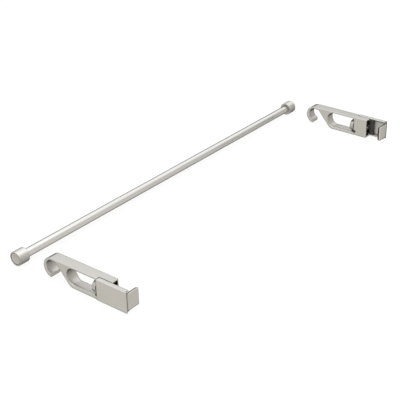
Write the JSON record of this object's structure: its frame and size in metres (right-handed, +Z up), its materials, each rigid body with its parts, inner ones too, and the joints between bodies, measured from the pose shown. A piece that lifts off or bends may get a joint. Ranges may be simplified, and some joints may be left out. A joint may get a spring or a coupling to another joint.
{
  "type": "clamp-on window bar",
  "caption": "Round steel bar with drum end caps, laid beside two mirrored hook brackets; each clamps a window sash between its housing and a screw-drawn jaw.",
  "frame": {"origin": "middle of the laid-out set, on the plane all three loose items rest on", "axes": "+X along the bar towards the right bracket, +Y from the room to the window, +Z up"},
  "size_m": [0.6378, 0.1998, 0.0307],
  "materials": {
    "cast_nickel": "satin nickel on a zinc casting",
    "jaw_nickel": "satin nickel on folded steel sheet",
    "cap_nickel": "satin nickel, turned",
    "face_nickel": "satin nickel, spun",
    "tube_steel": "fine brushed stainless steel",
    "screw_steel": "plain zinc-plated steel",
    "wheel_nickel": "satin nickel, ribbed rim",
    "nut_steel": "blackened steel",
    "pad_rubber": "matt black rubber",
    "nylon": "moulded black nylon"
  },
  "bodies": {
    "right_bracket": {"right_bracket_body": "cast_nickel", "right_thrust_washer": "nylon"},
    "right_jaw": {"right_jaw": "jaw_nickel", "right_lip_pad": "pad_rubber", "right_jaw_stop": "nylon", "right_clamp_nut": "nut_steel"},
    "right_screw": {"right_spindle": "screw_steel", "right_clamp_wheel": "wheel_nickel", "right_wheel_screw": "screw_steel", "right_retaining_clip": "screw_steel"},
    "left_bracket": {"left_bracket_body": "cast_nickel", "left_thrust_washer": "nylon"},
    "left_jaw": {"left_jaw": "jaw_nickel", "left_lip_pad": "pad_rubber", "left_jaw_stop": "nylon", "left_clamp_nut": "nut_steel"},
    "left_screw": {"left_spindle": "screw_steel", "left_clamp_wheel": "wheel_nickel", "left_wheel_screw": "screw_steel", "left_retaining_clip": "screw_steel"},
    "bar": {"bar_tube": "tube_steel", "right_end_cap": "cap_nickel", "right_cap_face": "face_nickel", "right_cap_screw": "screw_steel", "right_tube_plug": "nylon", "left_end_cap": "cap_nickel", "left_cap_face": "face_nickel", "left_cap_screw": "screw_steel", "left_tube_plug": "nylon"}
  },
  "joints": [
    {"name": "left_bracket_slide", "type": "slide", "parent": "right_bracket", "child": "left_bracket", "axis": [1, 0, 0], "range_m": [-0.006, 0.4]},
    {"name": "bar_swing", "type": "hinge", "parent": "right_bracket", "child": "bar", "pos_m": [0, -0.05437, -0.02297], "axis": [1, 0, 0], "range_deg": [0, 278.79]},
    {"name": "right_screw_turn", "type": "hinge", "parent": "right_bracket", "child": "right_screw", "pos_m": [0.305, 0.0457, 0.0146], "axis": [0, 1, 0], "range_deg": [-3600.1, 0]},
    {"name": "right_jaw_slide", "type": "slide", "parent": "right_bracket", "child": "right_jaw", "axis": [0, 1, 0], "range_m": [0, 0.01]},
    {"name": "left_screw_turn", "type": "hinge", "parent": "left_bracket", "child": "left_screw", "pos_m": [-0.305, 0.0457, 0.0146], "axis": [0, 1, 0], "range_deg": [-3600.1, 0]},
    {"name": "left_jaw_slide", "type": "slide", "parent": "left_bracket", "child": "left_jaw", "axis": [0, 1, 0], "range_m": [0, 0.01]}
  ],
  "couplings": [
    {"joint": "right_screw_turn", "follows": "right_jaw_slide", "rad_per_m": -6283.2},
    {"joint": "left_screw_turn", "follows": "left_jaw_slide", "rad_per_m": -6283.2}
  ]
}
